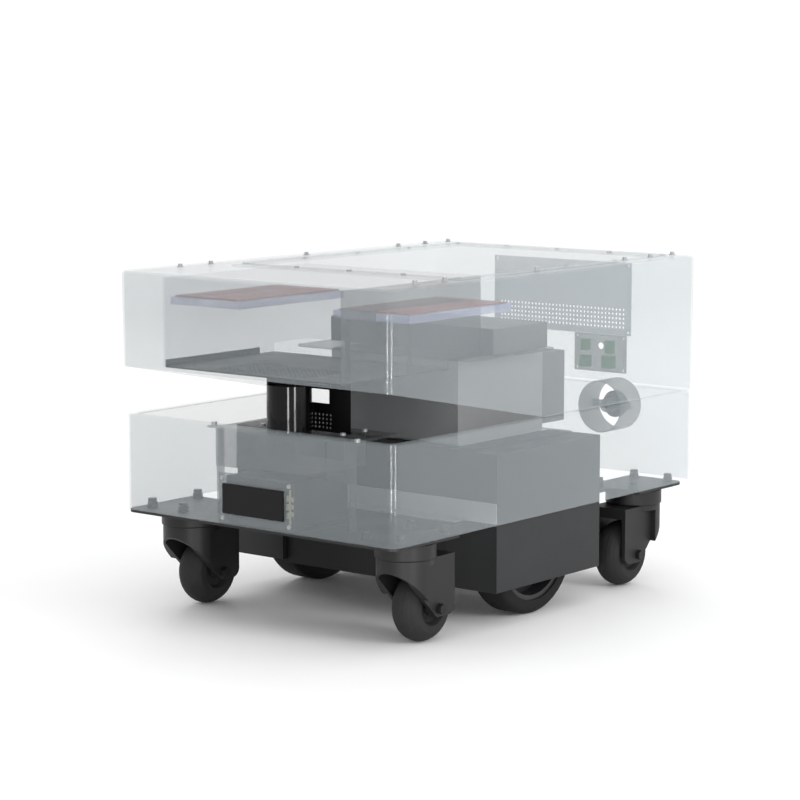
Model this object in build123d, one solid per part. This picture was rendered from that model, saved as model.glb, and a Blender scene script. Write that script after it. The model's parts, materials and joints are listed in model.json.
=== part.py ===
from build123d import *
import os
from math import cos, pi, sin

# Warehouse-type mobile robot: two sprung drive wheels at mid length, four hooded swivel
# casters, a steel base plate and a two-part see-through cover.
# Millimetres, +Z up, front is -Y, origin on the floor under the middle of the body.

# ---- driving dimensions ----
LENGTH = 750.0
WIDTH = 505.0
HEIGHT = 500.0
WALL = 3.0
CORNER = 17.0
LOWER_SETBACK = 8.0
REAR_SETBACK = 3.0

PLATE_T = 4.0
PLATE_Z = 148.0
PLATE_TOP = PLATE_Z + PLATE_T
PLATE_INSET = 1.5
PLATE_REAR = 347.0
WAIST = 197.0

LOWER_TOP = 292.5
LIP = 12.0
UPPER_FRONT_Z = 362.0
UPPER_REAR_Z = 293.0
WEDGE_END_Y = -24.0

DRIVE_Y = -4.0
DRIVE_R = 100.0
TYRE_W = 50.0
TYRE_X = 172.0
RIM_R = 80.0
SHAFT_R = 10.0
RUNNING = 0.05

HOUSING_X0 = 155.0
HOUSING_X1 = 246.0
HOUSING_Y0 = -130.0
HOUSING_Y1 = 124.0
HOUSING_Z0 = 52.0
HOUSING_Z1 = 250.0
SHEET = 2.0

CARRIAGE_T = 12.0
CARRIAGE_X = HOUSING_X0 + SHEET
CARRIAGE_Z0 = 74.0
CARRIAGE_Z1 = 140.0
ROD_R = 3.0
ROD_SPREAD = 52.0
SPRING_TOP = 200.0
SPRING_TURNS = 7
SPRING_R = 4.7
WIRE_R = 0.8

CASTER_X = 202.0
CASTER_FRONT_Y = -280.0
CASTER_REAR_Y = 280.0
CASTER_R = 50.0
CASTER_W = 44.0
CASTER_TRAIL = 34.0
COLLAR_R = 43.0
COLLAR_Z = 124.0
HOOD_R = 41.0
HOOD_TOP = 123.4
CHEEK_X = 32.0
CHEEK_T = 6.0
CHEEK_REAR = 69.0
CHEEK_Z = 38.0
KINGPIN_R = 12.0
AXLE_R = 4.0
TOP_PLATE_T = 3.0
BOLT_X = 31.0
BOLT_Y = 48.0
BOLT_R = 4.0

LIDAR_Y = -290.0
LIDAR_R = 32.0
LIDAR_SEAM = 288.0
LIDAR_TOP = 349.0
DECK_Z = 278.0

BAY_X = 165.0
BAY_REAR = -61.0
BAY_Z = 366.0
BAY_TOP = 494.0
SHELF_Z = 378.0
SHELF_T = 3.0
CONVERTER_LEFT = -70.0
CARRIER_Z = 447.0
CARRIER_T = 11.0
LID_Y0 = -165.0
LID_Y1 = 364.0
LID_X = 205.0
LID_T = 3.0
RIM_SCREW_X = 218.0
STOP_X = 112.0
STOP_Z = 259.5
STOP_R = 41.0
STOP_DEPTH = 54.0


# ---- helpers ----
def block(x0, x1, y0, y1, z0, z1):
    """Box between two corners."""
    solid = Box(x1 - x0, y1 - y0, z1 - z0)
    return Pos((x0 + x1) / 2, (y0 + y1) / 2, (z0 + z1) / 2) * solid


def post(x, y, z0, z1, radius):
    """Upright cylinder."""
    return Pos(x, y, (z0 + z1) / 2) * Cylinder(radius, z1 - z0)


def rod_x(x0, x1, y, z, radius):
    """Cylinder along X."""
    return Pos((x0 + x1) / 2, y, z) * Rot(0, 90, 0) * Cylinder(radius, x1 - x0)


def rod_y(y0, y1, x, z, radius):
    """Cylinder along Y."""
    return Pos(x, (y0 + y1) / 2, z) * Rot(90, 0, 0) * Cylinder(radius, y1 - y0)


def rounded_prism(y0, y1, half_width, radius, z0, z1):
    """Upright prism with rounded vertical corners."""
    outline = RectangleRounded(2 * half_width, y1 - y0, radius)
    return Pos(0, (y0 + y1) / 2, z0) * extrude(outline, z1 - z0)


def join(pieces):
    """Union of a list of overlapping or touching solids."""
    whole = pieces[0]
    for piece in pieces[1:]:
        whole = whole + piece
    return whole


def group(pieces):
    """Separate solids kept together in one node."""
    solids = []
    for piece in pieces:
        solids.extend(piece.solids())
    return Compound(children=solids)


def cut(body, tools):
    """Body less every tool."""
    for tool in tools:
        body = body - tool
    return body


def both_sides(piece):
    """The piece and its mirror image across the middle plane."""
    return [piece, mirror(piece, about=Plane.YZ)]


def span(first, last, count):
    """Evenly spaced values with both ends."""
    return [first + (last - first) * i / (count - 1) for i in range(count)]


# ---- chassis ----
def base_plate():
    half = WIDTH / 2 - PLATE_INSET
    front = -LENGTH / 2 + LOWER_SETBACK + PLATE_INSET
    plate = rounded_prism(front, PLATE_REAR, half, CORNER, PLATE_Z, PLATE_TOP)
    low, high = PLATE_Z - 1, PLATE_TOP + 1
    tools = [block(-152, 152, 276, PLATE_REAR + 5, low, high)]
    tools += both_sides(block(WAIST, WIDTH, -222, 222, low, high))
    tools += both_sides(block(HOUSING_X0, WIDTH, HOUSING_Y0, HOUSING_Y1, low, high))
    for x, y in caster_bolt_places():
        tools.append(post(x, y, low, high, BOLT_R))
    return cut(plate, tools)


def caster_places():
    """Kingpin X, Y and the trailing direction of each caster."""
    return {
        "front_left": (-CASTER_X, CASTER_FRONT_Y, 1),
        "front_right": (CASTER_X, CASTER_FRONT_Y, 1),
        "rear_left": (-CASTER_X, CASTER_REAR_Y, -1),
        "rear_right": (CASTER_X, CASTER_REAR_Y, -1),
    }


def caster_bolt_places():
    """Four bolts round each kingpin, at the corners of the caster's top plate."""
    places = []
    for x, y, _ in caster_places().values():
        for dx in (-BOLT_X, BOLT_X):
            for dy in (-BOLT_Y, BOLT_Y):
                places.append((x + dx, y + dy))
    return places


def caster_bolts():
    """Washer, hex nut and locking cap on each stud."""
    bolts = []
    for x, y in caster_bolt_places():
        nut = Pos(x, y, PLATE_TOP + 1.5) * extrude(RegularPolygon(7.5, 6), 6)
        cap = Pos(x, y, PLATE_TOP + 8.5) * extrude(RegularPolygon(6.6, 6), 4)
        stud = post(x, y, PLATE_Z - TOP_PLATE_T, PLATE_TOP + 9, BOLT_R)
        washer = post(x, y, PLATE_TOP, PLATE_TOP + 1.5, 8.5)
        bolts.append(join([stud, washer, nut, cap]))
    return group(bolts)


def cover_shell(y0, y1, z0, z1, half):
    """Rounded box wall, open above and below."""
    outer = rounded_prism(y0, y1, half, CORNER, z0, z1)
    inner = rounded_prism(y0 + WALL, y1 - WALL, half - WALL, CORNER - WALL, z0 - 1, z1 + 1)
    return outer - inner


def lower_cover():
    half = WIDTH / 2
    y0 = -LENGTH / 2 + LOWER_SETBACK
    y1 = LENGTH / 2 - REAR_SETBACK
    wall = cover_shell(y0, y1, PLATE_TOP, LOWER_TOP, half)
    lip = rounded_prism(y0 + WALL, y1 - WALL, half - WALL, CORNER - WALL, LOWER_TOP - WALL, LOWER_TOP)
    lip -= rounded_prism(y0 + LIP, y1 - LIP, half - LIP, CORNER - 2 * WALL, LOWER_TOP - 2 * WALL,
                         LOWER_TOP + 1)
    window = block(-57, 57, y0 - 5, y0 + WALL + 1, 167.5, 210.5)
    stop_hole = rod_y(y1 - 20, y1 + 10, STOP_X, STOP_Z, STOP_R)
    return cut(wall + lip, [window, stop_hole])


def wedge_cutter():
    """Space below the upper cover: full height at the front, closing at mid length."""
    front = -LENGTH / 2 - 10
    slope = (UPPER_FRONT_Z - UPPER_REAR_Z) / (WEDGE_END_Y + LENGTH / 2)
    lead = UPPER_FRONT_Z + 10 * slope
    outline = Polyline((0, front, 200), (0, front, lead), (0, WEDGE_END_Y, UPPER_REAR_Z),
                       (0, WEDGE_END_Y, 200), close=True)
    return extrude(make_face(outline), amount=WIDTH, both=True)


def upper_cover():
    half = WIDTH / 2
    y0, y1 = -LENGTH / 2, LENGTH / 2
    outer = rounded_prism(y0, y1, half, CORNER, UPPER_REAR_Z, HEIGHT)
    outer = fillet(outer.faces().sort_by(Axis.Z)[-1].edges(), 6)
    inner = rounded_prism(y0 + WALL, y1 - WALL, half - WALL, CORNER - WALL,
                          UPPER_REAR_Z - 1, HEIGHT - WALL)
    lid_pocket = rounded_prism(LID_Y0 - 0.3, LID_Y1 + 0.3, LID_X + 0.3, 8, HEIGHT - WALL - 1, HEIGHT + 1)
    stop_hole = rod_y(y1 - 20, y1 + 10, STOP_X, STOP_Z, STOP_R + 0.4)
    vent = block(-126, 126, y1 - 10, y1 + 10, 376, 474)
    port = block(34, 118, y1 - 10, y1 + 10, 314, 360)
    shell = cut(outer, [inner, lid_pocket, wedge_cutter(), vent, port, stop_hole])
    ledge = rounded_prism(LID_Y0 - LIP, LID_Y1 + 5, LID_X + LIP, 10, HEIGHT - 2 * WALL, HEIGHT - WALL)
    ledge -= rounded_prism(LID_Y0 + 10, LID_Y1 - 10, LID_X - 10, 6, HEIGHT - 9, HEIGHT)
    return shell + ledge


def top_lid():
    lid = rounded_prism(LID_Y0, LID_Y1, LID_X, 8, HEIGHT - LID_T, HEIGHT)
    return cut(lid, [post(x, y, HEIGHT - 9, HEIGHT + 1, 4) for x, y in lid_screw_places()])


def lid_screw_places():
    sides = [(sx * (LID_X - 7), y) for sx in (-1, 1) for y in span(LID_Y0 + 8, LID_Y1 - 8, 5)]
    ends = [(x, y) for x in (-100, 0, 100) for y in (LID_Y0 + 7, LID_Y1 - 7)]
    return sides + ends


def roof_screws():
    """Flush screws round the lid and tall cap screws on the rim of the roof."""
    screws = []
    for x, y in lid_screw_places():
        socket = Pos(x, y, HEIGHT - 1.2) * extrude(RegularPolygon(1.6, 6), 2)
        screws.append(post(x, y, HEIGHT - LID_T, HEIGHT, 4) - socket)
    for x in (-RIM_SCREW_X, RIM_SCREW_X):
        for y in (-280, -215, 0, 225, 294, 355):
            washer = post(x, y, HEIGHT, HEIGHT + 1.2, 5)
            screws.append(washer + post(x, y, HEIGHT + 1.2, HEIGHT + 5, 3.2))
    return group(screws)


# ---- front sensing ----
FRONT_WALL = -LENGTH / 2 + LOWER_SETBACK


def sensor_window():
    pane = block(-56.5, 56.5, FRONT_WALL - 2, FRONT_WALL + 6, 168, 210)
    return fillet(pane.edges().filter_by(Axis.Y), 1.5)


def sensor_bracket():
    upright = block(-70, 70, FRONT_WALL + 6, FRONT_WALL + 8, PLATE_TOP, 224)
    foot = block(-70, 70, FRONT_WALL + 8, -230, PLATE_TOP, PLATE_TOP + SHEET)
    return upright + foot


def sensor_case():
    case = block(-58, 58, FRONT_WALL + 8, -232, PLATE_TOP + SHEET, 221)
    return fillet(case.edges().filter_by(Axis.Y), 3)


def sensor_terminals():
    strip = block(63.5, 65, FRONT_WALL + 3.2, FRONT_WALL + 6, 163.5, 213)
    studs = [block(65.5, 69.5, FRONT_WALL + 3.4, FRONT_WALL + 6, z, z + 6) for z in (176, 186, 196)]
    sockets = [block(58.5, 62.5, FRONT_WALL + 3.4, FRONT_WALL + 6, z, z + 8) for z in (172, 184, 196)]
    return group([strip] + studs + sockets)


def lidar_deck():
    nose_front, rear = -330, -200
    top = block(-125, 125, -308, rear, DECK_Z - 3, DECK_Z)
    nose = block(-65.5, 65.5, nose_front, rear, 227, DECK_Z)
    nose -= block(-63.5, 63.5, nose_front + SHEET, rear + 1, 229, DECK_Z - 3)
    nose -= block(-66, 66, -290, -247, 233, 271)
    skirts = both_sides(block(85, 125, -308, -306, 221, DECK_Z - 3))
    legs = both_sides(block(123, 125, -306, -292, PLATE_TOP, DECK_Z - 3))
    ears = both_sides(block(125, 141, -308, -294, DECK_Z - 3, DECK_Z))
    return join([top, nose] + skirts + legs + ears)


def front_screws():
    """Screws of the lidar deck and of the sensor bracket."""
    screws = []
    for x in (-134, 134):
        screws.append(post(x, -301, DECK_Z, DECK_Z + 5, 4))
    for x, y in ((-75, -262), (75, -262), (-75, -214), (75, -214)):
        screws.append(post(x, y, DECK_Z, DECK_Z + 3.5, 4))
    for x in (-62, 62):
        for z in (160, 217):
            screws.append(rod_y(FRONT_WALL + 3.2, FRONT_WALL + 6, x, z, 3))
    return group(screws)


def lidar_housing():
    """Foot with a locating step, and the window drum that sits on it."""
    foot = post(0, LIDAR_Y, DECK_Z, LIDAR_SEAM, LIDAR_R)
    foot += post(0, LIDAR_Y, LIDAR_SEAM, LIDAR_SEAM + 3, LIDAR_R - WALL)
    drum = post(0, LIDAR_Y, LIDAR_SEAM, LIDAR_TOP, LIDAR_R)
    drum = fillet(drum.edges().sort_by(Axis.Z)[-1:], 2.5)
    drum -= post(0, LIDAR_Y, LIDAR_SEAM - 1, LIDAR_TOP - 5, LIDAR_R - WALL)
    return group([foot, drum])


def lidar_rotor():
    drum = post(0, LIDAR_Y, LIDAR_SEAM + 4, LIDAR_TOP - 11, 22)
    lens = rod_y(LIDAR_Y - 24, LIDAR_Y - 10, -8, 322, 6)
    return drum - lens


def recess_back_panel():
    y0, y1 = -250, -248
    panel = block(-78, 78, y0, y1, DECK_Z, BAY_Z)
    tools = both_sides(block(3, 40, y0 - 1, y1 + 1, 318, 338))
    for x in span(-42, 42, 13):
        for z in (284, 290, 296, 302, 346, 352, 358):
            tools.append(rod_y(y0 - 1, y1 + 1, x, z, 1.8))
    return cut(panel, tools)


# ---- upper bay ----
def bay_side_wall():
    """Right-hand wall of the bay; the board carrier passes through its slot."""
    y0, step, y1 = -LENGTH / 2 + WALL + SHEET, -138, BAY_REAR - SHEET
    front_part = block(BAY_X - SHEET, BAY_X, y0, step, BAY_Z, BAY_TOP)
    rear_part = block(BAY_X - SHEET, BAY_X, step, y1, SHELF_Z + SHELF_T, BAY_TOP)
    slot = block(BAY_X - SHEET - 1, BAY_X + 1, -298, -65, CARRIER_Z, CARRIER_Z + CARRIER_T + 2.5)
    return front_part + rear_part - slot


def control_bay():
    """Front, rear and left-hand walls of the bay."""
    y0 = -LENGTH / 2 + WALL
    front = block(-BAY_X, BAY_X, y0, y0 + SHEET, BAY_Z, BAY_TOP)
    rear = block(-BAY_X, BAY_X, BAY_REAR - SHEET, BAY_REAR, SHELF_Z + SHELF_T, BAY_TOP)
    return join([front, rear, mirror(bay_side_wall(), about=Plane.YZ)])


def bay_floor():
    """Perforated sheet with a low flange turned up along its left edge."""
    left = -BAY_X + SHEET
    floor = block(left, BAY_X - SHEET, -370, -138, BAY_Z, BAY_Z + SHEET)
    floor += block(left, left + SHEET, -370, -172, BAY_Z, BAY_Z + 11)
    holes = []
    for x in span(-82, 82, 21):
        for y in span(-350, -268, 11):
            holes.append(post(x, y, BAY_Z - 1, BAY_Z + SHEET + 1, 2.6))
    return floor - Compound(children=[solid for hole in holes for solid in hole.solids()])


def board_carriers():
    return group(both_sides(block(88, 222, -297, -66, CARRIER_Z, CARRIER_Z + CARRIER_T)))


def circuit_boards():
    top = CARRIER_Z + CARRIER_T
    return group(both_sides(block(93, 217, -292, -71, top, top + 2)))


def standoffs():
    """Round pillars between the bay floor and the right-hand board carrier."""
    return group([post(105, y, BAY_Z + SHEET, CARRIER_Z, 3.5) for y in (-287, -150)])


def electronics_shelf():
    shelf = block(-124, 200, -136, 77, SHELF_Z, SHELF_Z + SHELF_T)
    return fillet(shelf.edges().filter_by(Axis.Z), 12)


def computer_case():
    case = block(-120, 188, BAY_REAR + 1, 72, SHELF_Z + SHELF_T, 418)
    return fillet(case.edges().filter_by(Axis.Z), 4)


def middle_shelf():
    return block(-200, 200, -120, 117, HOUSING_Z1, HOUSING_Z1 + 3)


def battery_pack():
    pack = block(-148, 148, -112, 112, PLATE_TOP, HOUSING_Z1)
    return fillet(pack.edges().filter_by(Axis.Z), 5)


def power_converter():
    case = block(CONVERTER_LEFT, BAY_X, -115, 90, HOUSING_Z1 + 3, SHELF_Z)
    return fillet(case.edges().filter_by(Axis.X), 5)


def drive_controller():
    """Upright case on the back of the power converter, with two terminal studs behind it."""
    case = block(-BAY_X, BAY_X, 90, 148, 263, 368)
    case = fillet(case.edges().filter_by(Axis.Z), 3)
    studs = [rod_y(147, 161, 150, z, 3) for z in (284, 326)]
    return join([case] + studs)


def battery_stop():
    """Light angle on the base plate, in front of the battery and the right wheel housing."""
    foot = block(-60, 190, -156, HOUSING_Y0, PLATE_TOP, PLATE_TOP + SHEET)
    upright = block(-60, HOUSING_X1, HOUSING_Y0 - SHEET, HOUSING_Y0, PLATE_TOP, PLATE_TOP + 29)
    return foot + upright


def motor_pan():
    """Channel below the base plate that closes in the two gearmotors."""
    half, y0, y1, low = 152, -122, 116, 47
    front = block(-half, half, y0, y0 + SHEET, low, PLATE_Z)
    rear = block(-half, half, y1 - SHEET, y1, low, PLATE_Z)
    bottom = block(-half, half, y0, y1, low, low + SHEET)
    pan = join([front, rear, bottom])
    holes = [rod_y(y0 - 1, y0 + SHEET + 1, x, 92, 3) for x in (-128, -104, 104, 128)]
    return cut(pan, holes)


# ---- rear face ----
def rear_vent_panel():
    y0, y1 = LENGTH / 2 - WALL - SHEET, LENGTH / 2 - WALL
    panel = block(-133, 133, y0, y1, 367, 482)
    holes = []
    for x in span(-119, 119, 36):
        for z in span(379.5, 407.5, 5):
            holes.append(rod_y(y0 - 1, y1 + 1, x, z, 1.9))
    for x in (-128, 128):
        for z in (372, 477):
            holes.append(rod_y(y0 - 1, y1 + 1, x, z, 2.2))
    return panel - Compound(children=[solid for hole in holes for solid in hole.solids()])


CABLE_HOLE = (77.0, 348.0, 5.5)


def connector_panel():
    y0, y1 = LENGTH / 2 - WALL - 2.5, LENGTH / 2 - WALL
    panel = block(27, 125, y0, y1, 307, 366.5)
    x, z, radius = CABLE_HOLE
    tools = [rod_y(y0 - 1, y1 + 1, x, z, radius)]
    for hx in (32, 120):
        for hz in (311.5, 362):
            tools.append(rod_y(y0 - 1, y1 + 1, hx, hz, 2))
    return cut(panel, tools)


def terminal_blocks():
    y1 = LENGTH / 2 - WALL - 2.5
    places = ((46, 58, 340, 358), (92, 104, 338, 358), (44, 60, 314, 332), (86, 106, 314, 334))
    return group([block(x0, x1, y1 - 11, y1, z0, z1) for x0, x1, z0, z1 in places])


def stop_button_cup():
    """Open tube through the rear wall with a bridge that carries the stop button."""
    y1 = LENGTH / 2 - REAR_SETBACK
    y0 = y1 - STOP_DEPTH
    tube = rod_y(y0, y1, STOP_X, STOP_Z, STOP_R)
    tube -= rod_y(y0 - 1, y1 + 1, STOP_X, STOP_Z, STOP_R - 2.5)
    bridge = block(STOP_X - STOP_R + 1.5, STOP_X + STOP_R - 1.5, y1 - 24, y1 - 20, STOP_Z - 6, STOP_Z + 6)
    switch = rod_y(y1 - 38, y1 - 19.5, STOP_X, STOP_Z, 11)
    bore = rod_y(y1 - 60, y1 - 15, STOP_X, STOP_Z, 5 + RUNNING)
    return (tube + bridge + switch) - bore


def stop_button():
    y1 = LENGTH / 2 - REAR_SETBACK
    cap = rod_y(y1 - 14, y1 - 3, STOP_X, STOP_Z, 21)
    cap = fillet(cap.edges().sort_by(Axis.Y)[-1:], 5)
    return cap + rod_y(y1 - 34, y1 - 14, STOP_X, STOP_Z, 5)


# ---- drive units (right-hand, mirrored for the left) ----
def wheel_housing():
    outer = block(HOUSING_X0, HOUSING_X1, HOUSING_Y0, HOUSING_Y1, HOUSING_Z0, HOUSING_Z1)
    outer = fillet(outer.edges().filter_by(Axis.Y).sort_by(Axis.X)[-1:], 3)
    inner = block(HOUSING_X0 + SHEET, HOUSING_X1 - SHEET, HOUSING_Y0 + SHEET, HOUSING_Y1 - SHEET,
                  HOUSING_Z0 - 1, HOUSING_Z1 - SHEET)
    motor_slot = block(HOUSING_X0 - 1, HOUSING_X0 + SHEET + 1, DRIVE_Y - 42, DRIVE_Y + 42,
                       HOUSING_Z0 - 1, PLATE_TOP)
    housing = cut(outer, [inner, motor_slot])
    x0, x1 = HOUSING_X0 + SHEET, HOUSING_X0 + SHEET + CARRIAGE_T
    for y in (DRIVE_Y - ROD_SPREAD, DRIVE_Y + ROD_SPREAD):
        housing += block(x0, x1, y - 8, y + 8, HOUSING_Z0, HOUSING_Z0 + 8)
        housing += block(x0, x1, y - 8, y + 8, SPRING_TOP, SPRING_TOP + 8)
    for y in (DRIVE_Y - ROD_SPREAD, DRIVE_Y + ROD_SPREAD):
        housing -= post(rod_axis_x(), y, HOUSING_Z0 - 1, SPRING_TOP + 9, ROD_R)
    return housing


def rod_axis_x():
    return CARRIAGE_X + CARRIAGE_T / 2


def guide_rods():
    """Two upright steel rods in each wheel housing."""
    rods = []
    for y in (DRIVE_Y - ROD_SPREAD, DRIVE_Y + ROD_SPREAD):
        rods += both_sides(post(rod_axis_x(), y, HOUSING_Z0, SPRING_TOP + 8, ROD_R))
    return group(rods)


def wheel_carriage():
    """Sliding plate that carries the gearmotor and the wheel."""
    x0, x1 = CARRIAGE_X, CARRIAGE_X + CARRIAGE_T
    plate = block(x0, x1, DRIVE_Y - 62, DRIVE_Y + 62, CARRIAGE_Z0, CARRIAGE_Z1)
    tools = [rod_x(x0 - 1, x1 + 1, DRIVE_Y, DRIVE_R, SHAFT_R + 4)]
    for y in (DRIVE_Y - ROD_SPREAD, DRIVE_Y + ROD_SPREAD):
        tools.append(post(rod_axis_x(), y, CARRIAGE_Z0 - 1, CARRIAGE_Z1 + 1, ROD_R + RUNNING))
    return cut(plate, tools)


def suspension_springs():
    """Coil springs round the two rods of one side."""
    free = SPRING_TOP - CARRIAGE_Z1 - 2 * WIRE_R
    path = Helix(free / SPRING_TURNS, free, SPRING_R)
    section = Plane(origin=path @ 0, z_dir=path % 0) * Circle(WIRE_R)
    coil = sweep(section, path=path)
    coils = []
    for y in (DRIVE_Y - ROD_SPREAD, DRIVE_Y + ROD_SPREAD):
        coils.append(Pos(rod_axis_x(), y, CARRIAGE_Z1 + WIRE_R) * coil)
    return group(coils)


def gearmotor():
    flange = block(CARRIAGE_X - 9, CARRIAGE_X, DRIVE_Y - 38, DRIVE_Y + 38, 62, 138)
    flange = fillet(flange.edges().filter_by(Axis.X), 6)
    gearbox = rod_x(98, CARRIAGE_X - 9, DRIVE_Y, DRIVE_R, 35)
    can = rod_x(20, 98, DRIVE_Y, DRIVE_R, 31)
    encoder = rod_x(10, 20, DRIVE_Y, DRIVE_R, 24)
    bore = rod_x(115, CARRIAGE_X + 1, DRIVE_Y, DRIVE_R, SHAFT_R + RUNNING)
    return join([flange, gearbox, can, encoder]) - bore


def drive_hub():
    """Rim, web, boss and driven shaft of one drive wheel."""
    x0, x1 = TYRE_X + 3, TYRE_X + TYRE_W - 3
    rim = rod_x(x0, x1, DRIVE_Y, DRIVE_R, RIM_R) - rod_x(x0 - 1, x1 + 1, DRIVE_Y, DRIVE_R, RIM_R - 7)
    web = rod_x(x0 + 8, x0 + 20, DRIVE_Y, DRIVE_R, RIM_R - 6)
    boss = rod_x(x0, x1 - 10, DRIVE_Y, DRIVE_R, 24)
    hub = join([rim, web, boss])
    for i in range(6):
        angle = pi / 3 * i
        y = DRIVE_Y + 50 * cos(angle)
        z = DRIVE_R + 50 * sin(angle)
        hub -= rod_x(x0, x1, y, z, 13)
    return hub + rod_x(116, x1 - 5, DRIVE_Y, DRIVE_R, SHAFT_R)


def drive_tyre():
    x0, x1 = TYRE_X, TYRE_X + TYRE_W
    tyre = rod_x(x0, x1, DRIVE_Y, DRIVE_R, DRIVE_R)
    tyre = fillet(tyre.edges().filter_by(GeomType.CIRCLE), 9)
    return tyre - rod_x(x0 - 1, x1 + 1, DRIVE_Y, DRIVE_R, RIM_R)


# ---- casters, built at the kingpin axis and trailing towards +Y ----
def caster_mount():
    """Swivel collar under a bolted top plate."""
    collar = post(0, 0, COLLAR_Z, PLATE_Z - TOP_PLATE_T, COLLAR_R)
    collar = fillet(collar.edges().sort_by(Axis.Z)[:1], 1.5)
    plate = Pos(0, 0, PLATE_Z - TOP_PLATE_T) * extrude(RectangleRounded(80, 114, 7), TOP_PLATE_T)
    tools = [post(0, 0, COLLAR_Z - 1, PLATE_Z - TOP_PLATE_T, KINGPIN_R + RUNNING)]
    for dx in (-BOLT_X, BOLT_X):
        for dy in (-BOLT_Y, BOLT_Y):
            tools.append(post(dx, dy, PLATE_Z - TOP_PLATE_T - 1, PLATE_Z + 1, BOLT_R))
    return cut(collar + plate, tools)


def caster_hood():
    """Scoop-shaped fork: a round hood cut at 45 degrees, with flat cheeks behind."""
    outer = post(0, 0, CHEEK_Z, HOOD_TOP, HOOD_R)
    outer = outer - block(-HOOD_R, HOOD_R, 0, HOOD_R + 1, CHEEK_Z - 1, HOOD_TOP - 8)
    cheeks = block(-CHEEK_X, CHEEK_X, 0, CHEEK_REAR, CHEEK_Z, HOOD_TOP)
    cheeks = fillet(cheeks.edges().filter_by(Axis.X).sort_by(Axis.Y)[-2:].sort_by(Axis.Z)[:1], 14)
    cavity_half = CHEEK_X - CHEEK_T
    nose = post(0, 0, 0, HOOD_TOP - 16, HOOD_R - 3)
    nose = nose & block(-cavity_half, cavity_half, -HOOD_R, 1, 0, HOOD_TOP - 16)
    slot = block(-cavity_half, cavity_half, 0, CHEEK_REAR + 1, 0, HOOD_TOP - 16)
    cut_top = 108
    reach = HOOD_R + 1
    outline = Polyline((0, -reach, 0), (0, -reach, cut_top + 1),
                       (0, cut_top - HOOD_R - CHEEK_Z, CHEEK_Z),
                       (0, cut_top - HOOD_R - CHEEK_Z, 0), close=True)
    oblique = extrude(make_face(outline), amount=HOOD_R + 1, both=True)
    hood = cut(outer + cheeks, [nose, slot, oblique])
    hood += post(0, 0, HOOD_TOP - 2, PLATE_Z - 5, KINGPIN_R)
    return hood - rod_x(-HOOD_R, HOOD_R, CASTER_TRAIL, CASTER_R, AXLE_R + 0.1)


def caster_axle():
    head = Pos(CHEEK_X, CASTER_TRAIL, CASTER_R) * Rot(0, 90, 0) * extrude(RegularPolygon(7.5, 6), 8)
    nut = Pos(-CHEEK_X - 7, CASTER_TRAIL, CASTER_R) * Rot(0, 90, 0) * extrude(RegularPolygon(7.5, 6), 7)
    return join([rod_x(-CHEEK_X, CHEEK_X, CASTER_TRAIL, CASTER_R, AXLE_R), head, nut])


def caster_wheel():
    """Barrel-crowned wheel with recessed sides and a hub boss."""
    half = CASTER_W / 2
    boss = CHEEK_X - CHEEK_T - 0.5
    bore = AXLE_R + RUNNING
    profile = make_face([
        Polyline((-half, 36), (-half, 26), (-half + 8, 22), (-half + 8, 12), (-boss, 12), (-boss, bore),
                 (boss, bore), (boss, 12), (half - 8, 12), (half - 8, 22), (half, 26), (half, 36)),
        ThreePointArc((half, 36), (0, CASTER_R), (-half, 36)),
    ])
    wheel = revolve(profile, Axis.X)
    return Pos(0, CASTER_TRAIL, CASTER_R) * wheel


def at_caster(piece, place):
    x, y, trail = place
    turn = 0 if trail > 0 else 180
    return Pos(x, y, 0) * Rot(0, 0, turn) * piece


def caster_mounts():
    return group([at_caster(caster_mount(), place) for place in caster_places().values()])


# ---- assembly ----
def fixed_nodes():
    return {
        "base_plate": base_plate(),
        "lower_cover": lower_cover(),
        "upper_cover": upper_cover(),
        "top_lid": top_lid(),
        "roof_screws": roof_screws(),
        "caster_bolts": caster_bolts(),
        "sensor_window": sensor_window(),
        "sensor_bracket": sensor_bracket(),
        "sensor_case": sensor_case(),
        "sensor_terminals": sensor_terminals(),
        "lidar_deck": lidar_deck(),
        "front_screws": front_screws(),
        "lidar_housing": lidar_housing(),
        "lidar_rotor": lidar_rotor(),
        "recess_back_panel": recess_back_panel(),
        "bay_side_wall": bay_side_wall(),
        "control_bay": control_bay(),
        "bay_floor": bay_floor(),
        "board_carriers": board_carriers(),
        "circuit_boards": circuit_boards(),
        "standoffs": standoffs(),
        "electronics_shelf": electronics_shelf(),
        "computer_case": computer_case(),
        "middle_shelf": middle_shelf(),
        "battery_pack": battery_pack(),
        "power_converter": power_converter(),
        "drive_controller": drive_controller(),
        "battery_stop": battery_stop(),
        "motor_pan": motor_pan(),
        "rear_vent_panel": rear_vent_panel(),
        "connector_panel": connector_panel(),
        "terminal_blocks": terminal_blocks(),
        "stop_button_cup": stop_button_cup(),
        "stop_button": stop_button(),
        "guide_rods": guide_rods(),
        "caster_mounts": caster_mounts(),
    }


def paired_nodes():
    makers = {
        "wheel_housing": wheel_housing,
        "wheel_carriage": wheel_carriage,
        "suspension_springs": suspension_springs,
        "gearmotor": gearmotor,
        "drive_wheel": drive_hub,
        "drive_tyre": drive_tyre,
    }
    nodes = {}
    for name, maker in makers.items():
        right, left = both_sides(maker())
        nodes["right_" + name] = right
        nodes["left_" + name] = left
    return nodes


def caster_nodes():
    pieces = {
        "caster_hood": caster_hood(),
        "caster_axle": caster_axle(),
        "caster_wheel": caster_wheel(),
    }
    nodes = {}
    for corner, place in caster_places().items():
        for name, piece in pieces.items():
            nodes[corner + "_" + name] = at_caster(piece, place)
    return nodes


def main():
    os.makedirs("parts", exist_ok=True)
    nodes = fixed_nodes() | paired_nodes() | caster_nodes()
    for name, shape in nodes.items():
        export_step(shape, os.path.join("parts", name + ".step"))


main()
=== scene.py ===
import json
import math

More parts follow.
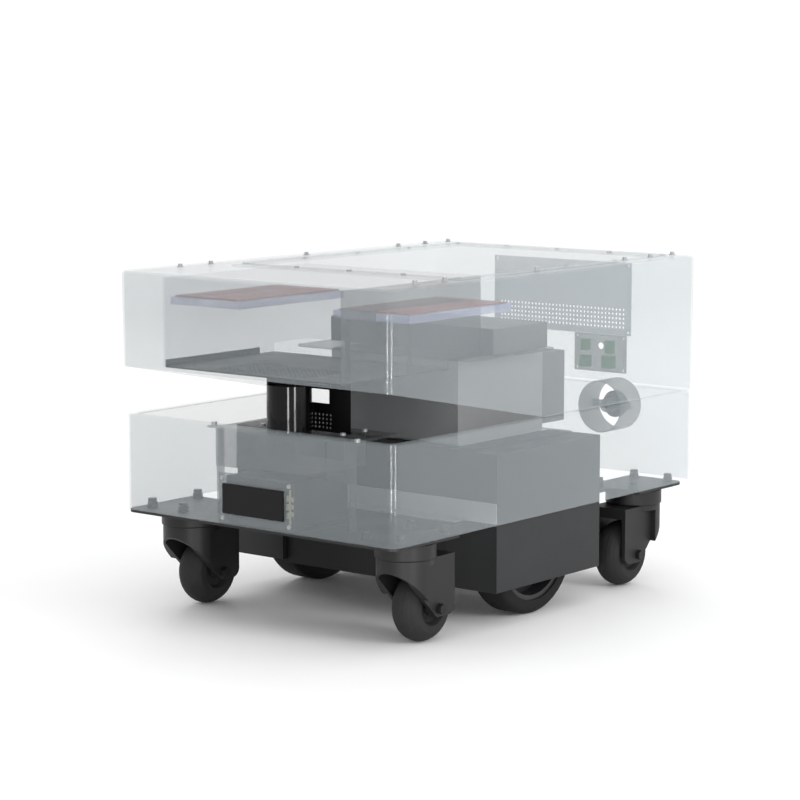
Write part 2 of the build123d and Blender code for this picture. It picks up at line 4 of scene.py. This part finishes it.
import bmesh
import bpy
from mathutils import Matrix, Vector


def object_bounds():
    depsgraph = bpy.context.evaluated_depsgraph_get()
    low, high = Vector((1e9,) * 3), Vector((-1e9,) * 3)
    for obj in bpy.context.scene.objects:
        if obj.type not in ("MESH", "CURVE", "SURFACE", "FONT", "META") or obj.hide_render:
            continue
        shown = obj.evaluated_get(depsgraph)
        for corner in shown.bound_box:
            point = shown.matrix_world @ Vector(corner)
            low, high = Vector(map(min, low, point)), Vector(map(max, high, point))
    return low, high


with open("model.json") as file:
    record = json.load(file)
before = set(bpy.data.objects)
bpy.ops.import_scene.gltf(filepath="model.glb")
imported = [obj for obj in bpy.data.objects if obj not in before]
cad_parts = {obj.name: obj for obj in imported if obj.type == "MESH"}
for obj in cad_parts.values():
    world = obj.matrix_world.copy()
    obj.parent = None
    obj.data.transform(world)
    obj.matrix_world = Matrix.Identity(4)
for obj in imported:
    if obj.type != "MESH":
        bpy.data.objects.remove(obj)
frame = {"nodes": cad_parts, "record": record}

MM = 0.001
nodes = frame["nodes"]
cad_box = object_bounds()
scene = bpy.context.scene


# ---- material building blocks ----
HALF_LENGTH = cad_box[1][1]
MIX_COLOURS = (6, 7)  # the colour inputs of a Mix node
MIX_RESULT = 2  # and its colour output
NOISE_RANGE = (0.35, 0.65)  # where most values of a noise lie
GRAIN_DEPTH = 0.4 * MM
RING_DEPTH = 0.6 * MM
RING_STRENGTH = 0.5
SPECK_SHARE = 0.4
ROUGH_SPREAD = 0.05
HAZE_SCALE = 5.0
HAZE_SPREAD = 0.03
GLOSS_RANGE = (0.049, 0.091)


def new_material(name):
    material = bpy.data.materials.new(name)
    material.use_nodes = True
    tree = material.node_tree
    return material, tree, tree.nodes["Principled BSDF"]


def connect(tree, socket, value):
    """Links another node's output to the socket, or sets it to a plain value."""
    if isinstance(value, bpy.types.NodeSocket):
        tree.links.new(value, socket)
    else:
        socket.default_value = value


def feed(tree, node, **sockets):
    """Connects a node's inputs by name."""
    for name, value in sockets.items():
        connect(tree, node.inputs[name.replace("_", " ")], value)


def add(tree, kind, **sockets):
    node = tree.nodes.new(kind)
    feed(tree, node, **sockets)
    return node


def object_coordinates(tree, stretch=(1.0, 1.0, 1.0)):
    coords = tree.nodes.new("ShaderNodeTexCoord")
    return add(tree, "ShaderNodeMapping", Vector=coords.outputs["Object"], Scale=stretch).outputs["Vector"]


def noise(tree, vector, scale, detail):
    made = add(tree, "ShaderNodeTexNoise", Vector=vector, Scale=scale, Detail=detail, Roughness=0.5)
    return made.outputs["Fac"]


def remap(tree, value, low, high, start=NOISE_RANGE[0], end=NOISE_RANGE[1]):
    """A value stretched to run from low to high."""
    made = add(tree, "ShaderNodeMapRange", Value=value, From_Min=start, From_Max=end, To_Min=low, To_Max=high)
    return made.outputs["Result"]


def blend(tree, factor, first, second):
    """Mix of two colours."""
    made = tree.nodes.new("ShaderNodeMix")
    made.data_type = "RGBA"
    connect(tree, made.inputs["Factor"], factor)
    for socket, colour in zip(MIX_COLOURS, (first, second)):
        connect(tree, made.inputs[socket], colour)
    return made.outputs[MIX_RESULT]


def calculate(tree, operation, *values):
    made = tree.nodes.new("ShaderNodeMath")
    made.operation = operation
    for socket, value in zip(made.inputs, values):
        connect(tree, socket, value)
    return made.outputs["Value"]


def bump(tree, height, strength, depth, **under):
    """Relief from a height value, over another relief's Normal where that is given."""
    made = add(tree, "ShaderNodeBump", Height=height, Strength=strength, Distance=depth, **under)
    return made.outputs["Normal"]


def scaled(colour, factor):
    """An opaque colour, lighter or darker than the one given."""
    return (*(min(channel * factor, 1.0) for channel in colour), 1.0)


def surface(name, colour, rough, metallic=0.0, spread=0.04, patch=14.0, grain=300.0, relief=0.015,
            stretch=(1.0, 1.0, 1.0), specular=0.25, alpha=1.0):
    """A finish with drifting tone, uneven gloss and fine relief. patch and grain are noise scales."""
    material, tree, shader = new_material(name)
    vector = object_coordinates(tree, stretch)
    drift = noise(tree, vector, patch, detail=5.0)
    fine = noise(tree, vector, grain, detail=2.0)
    tone = blend(tree, remap(tree, drift, 0.0, 1.0), scaled(colour, 1 - spread), scaled(colour, 1 + spread))
    dark, light = scaled(colour, 1 - spread / 2), scaled(colour, 1 + spread)
    speck = blend(tree, remap(tree, fine, 0.0, 1.0), dark, light)
    feed(
        tree, shader,
        Base_Color=blend(tree, SPECK_SHARE, tone, speck),
        Roughness=remap(tree, drift, rough - ROUGH_SPREAD, rough + ROUGH_SPREAD),
        Normal=bump(tree, fine, relief, GRAIN_DEPTH),
        Metallic=metallic,
        Specular_IOR_Level=specular,
        Alpha=alpha,
    )
    return material


def see_through(name, colour, alpha, painted_rear_light=1.0, specular=0.6):
    """Ghosted plastic: pale, glossy and see-through, with faint handling haze.
    The rear setting is how much lighter the colour is painted at the rear end than at the front: painted
    light, not a tint of the plastic."""
    material, tree, shader = new_material(name)
    vector = object_coordinates(tree)
    haze = noise(tree, vector, HAZE_SCALE, detail=6.0)
    pale, dull = scaled(colour, 1 + HAZE_SPREAD), scaled(colour, 1 - HAZE_SPREAD)
    tone = blend(tree, remap(tree, haze, 0.0, 1.0), dull, pale)
    # Painted light: the colour is blended lighter towards the rear end (+Y), a painted brightening rather
    # than a tint of the plastic.
    if painted_rear_light != 1.0:
        parts = add(tree, "ShaderNodeSeparateXYZ", Vector=vector)
        painted_light_ramp = remap(tree, parts.outputs["Y"], 0.0, 1.0, start=-HALF_LENGTH, end=HALF_LENGTH)
        tone = blend(tree, painted_light_ramp, tone, scaled(colour, painted_rear_light))
    feed(
        tree, shader,
        Base_Color=tone,
        Roughness=remap(tree, haze, *GLOSS_RANGE),
        Specular_IOR_Level=specular,
        Alpha=alpha,
    )
    return material


def rubber(name, colour, pitch):
    """Moulded rubber with shallow rings round the wheel, which turns on an X axis."""
    material = surface(name, colour, 0.70, patch=30.0, grain=1400.0, relief=0.15, spread=0.16, specular=0.2)
    tree = material.node_tree
    shader = tree.nodes["Principled BSDF"]
    grain_normal = shader.inputs["Normal"].links[0].from_socket
    parts = add(tree, "ShaderNodeSeparateXYZ", Vector=object_coordinates(tree))
    wave = calculate(tree, "SINE", calculate(tree, "MULTIPLY", parts.outputs["X"], math.tau / pitch))
    groove = remap(tree, wave, 0.0, 1.0, start=-0.9, end=-0.6)
    feed(tree, shader, Normal=bump(tree, groove, RING_STRENGTH, RING_DEPTH, Normal=grain_normal))
    return material


MATERIALS = {
    # The clear cover's rear setting paints it lighter towards its rear end: painted light.
    "clear_cover": see_through("clear_cover", (0.42, 0.468, 0.487), 0.20, painted_rear_light=1.32),
    "smoked_panel": see_through("smoked_panel", (0.27, 0.30, 0.315), 0.10, specular=0.3),
    "dark_panel": surface("dark_panel", (0.115, 0.12, 0.122), 0.35, alpha=0.38),
    "blue_acrylic": see_through("blue_acrylic", (0.42, 0.44, 0.68), 0.45),
    "dark_steel": surface("dark_steel", (0.019, 0.019, 0.020), 0.46),
    "housing_grey": surface("housing_grey", (0.024, 0.025, 0.026), 0.48),
    "black_gloss": surface("black_gloss", (0.005, 0.005, 0.0055), 0.12, relief=0.01, specular=0.17),
    "satin_black": surface("satin_black", (0.005, 0.005, 0.0055), 0.42, specular=0.08),
    "sheet_grey": surface("sheet_grey", (0.10, 0.103, 0.105), 0.38, stretch=(1, 8, 1), alpha=0.42),
    "bright_sheet": surface("bright_sheet", (0.62, 0.64, 0.65), 0.34, stretch=(1, 8, 1), alpha=0.55),
    "panel_grey": surface("panel_grey", (0.29, 0.33, 0.37), 0.40, stretch=(8, 1, 1), alpha=0.55),
    "case_dark": surface("case_dark", (0.034, 0.035, 0.036), 0.45),
    "case_grey": surface("case_grey", (0.125, 0.128, 0.130), 0.45),
    "light_case": surface("light_case", (0.27, 0.275, 0.28), 0.42),
    "motor_steel": surface("motor_steel", (0.05, 0.05, 0.053), 0.35, metallic=0.4),
    "ground_steel": surface("ground_steel", (0.40, 0.40, 0.41), 0.25, metallic=1.0, stretch=(1, 1, 10)),
    "bright_screws": surface("bright_screws", (0.42, 0.43, 0.44), 0.30, metallic=0.3),
    "black_bolts": surface("black_bolts", (0.018, 0.018, 0.019), 0.38, metallic=0.3),
    "red_board": surface("red_board", (0.36, 0.11, 0.095), 0.40, alpha=0.65),
    "terminal_green": surface("terminal_green", (0.02, 0.14, 0.035), 0.45),
    "terminal_cream": surface("terminal_cream", (0.30, 0.28, 0.19), 0.45),
    "tube_grey": surface("tube_grey", (0.11, 0.12, 0.12), 0.40, alpha=0.6),
    "tyre_rubber": rubber("tyre_rubber", (0.009, 0.009, 0.0095), pitch=8.4 * MM),
    "caster_rubber": rubber("caster_rubber", (0.022, 0.022, 0.023), pitch=11.0 * MM),
}
BEVELLED = (
    "base_plate", "top_lid", "battery_pack", "power_converter", "drive_controller", "computer_case",
    "sensor_case", "battery_stop", "board_carriers", "circuit_boards", "lidar_deck", "control_bay",
    "left_wheel_housing", "right_wheel_housing",
)
EDGE_ROUND = 0.5 * MM
EDGE_ANGLE = math.radians(40)


def dress_cad_nodes():
    """Every CAD node takes the finish of its record slot, and the boxy ones small edge rounds."""
    slot_of = {part["node"]: part["material_slot"] for part in frame["record"]["subparts"]}
    for name, obj in nodes.items():
        finish = MATERIALS[slot_of[name]]
        if not obj.material_slots:
            obj.data.materials.append(finish)
        for slot in obj.material_slots:
            slot.material = finish
    for name in BEVELLED:
        edge = nodes[name].modifiers.new("edge", "BEVEL")
        edge.width = EDGE_ROUND
        edge.segments = 2
        edge.limit_method = "ANGLE"
        edge.angle_limit = EDGE_ANGLE
        edge.harden_normals = True


# ---- stage, light and camera ----
WHITE = (1.0, 1.0, 1.0, 1.0)
MIDDLE = Vector((0.0, 0.0, 0.3))
NEAR_CORNER = Vector((0.2439, -0.3584, 0.17))  # on the lower cover's nearest upright edge
FLOOR_RADIUS = 40.0
FLOOR_DROP = 0.5 * MM
STRIP_DISTANCE = 1.1
STRIP_SIZE = (0.16, 0.36)
STRIP_POWER = 7.0
STRIP_AZIMUTHS = {"strip_left": 28.0, "strip_right": 69.0}


def make_floor():
    mesh = bpy.data.meshes.new("floor")
    form = bmesh.new()
    bmesh.ops.create_circle(form, cap_ends=True, segments=96, radius=FLOOR_RADIUS)
    form.to_mesh(mesh)
    form.free()
    floor = bpy.data.objects.new("floor", mesh)
    scene.collection.objects.link(floor)
    floor.location.z = -FLOOR_DROP
    paint = surface("floor_paint", (0.93, 0.93, 0.93), 0.8, spread=0.004, relief=0.0)
    floor.data.materials.append(paint)


def area_light(name, place, size, power, height=None, aim=MIDDLE):
    """A disk lamp, or an upright strip that only reflections show where height is given."""
    light = bpy.data.lights.new(name, "AREA")
    light.shape = "RECTANGLE" if height else "DISK"
    light.size = size
    if height:
        light.size_y = height
    light.energy = power
    obj = bpy.data.objects.new(name, light)
    obj.location = place
    obj.rotation_mode = "QUATERNION"
    obj.rotation_quaternion = (aim - Vector(place)).to_track_quat("-Z", "Y")
    obj.visible_camera = obj.visible_diffuse = not height
    scene.collection.objects.link(obj)


def make_light():
    world = bpy.data.worlds.new("studio")
    scene.world = world
    world.use_nodes = True
    tree = world.node_tree
    feed(tree, tree.nodes["Background"], Color=WHITE, Strength=1.1)
    area_light("key", place=(4.2, 0.3, 1.7), size=1.6, power=60.0)
    area_light("rim", place=(-2.6, 2.2, 2.2), size=1.2, power=15.0)
    width, height = STRIP_SIZE
    for name, azimuth in STRIP_AZIMUTHS.items():
        turn = math.radians(azimuth)
        place = NEAR_CORNER + STRIP_DISTANCE * Vector((math.sin(turn), -math.cos(turn), 0.0))
        area_light(name, place, size=width, power=STRIP_POWER, height=height, aim=NEAR_CORNER)


def make_camera():
    azimuth, elevation = math.radians(38.857), math.radians(7.736)
    target, distance = Vector((-0.0334, 0.0, 0.291)), 3.889
    back = Vector((
        math.sin(azimuth) * math.cos(elevation),
        -math.cos(azimuth) * math.cos(elevation),
        math.sin(elevation),
    ))
    camera = bpy.data.objects.new("camera", bpy.data.cameras.new("camera"))
    camera.data.sensor_width = 36.0
    camera.data.lens = 116.4
    camera.location = target + back * distance
    camera.rotation_mode = "QUATERNION"
    camera.rotation_quaternion = (-back).to_track_quat("-Z", "Y")
    scene.collection.objects.link(camera)
    scene.camera = camera


dress_cad_nodes()
make_floor()
make_light()
make_camera()
scene.view_settings.view_transform = "Standard"
scene.cycles.transparent_max_bounces = 32
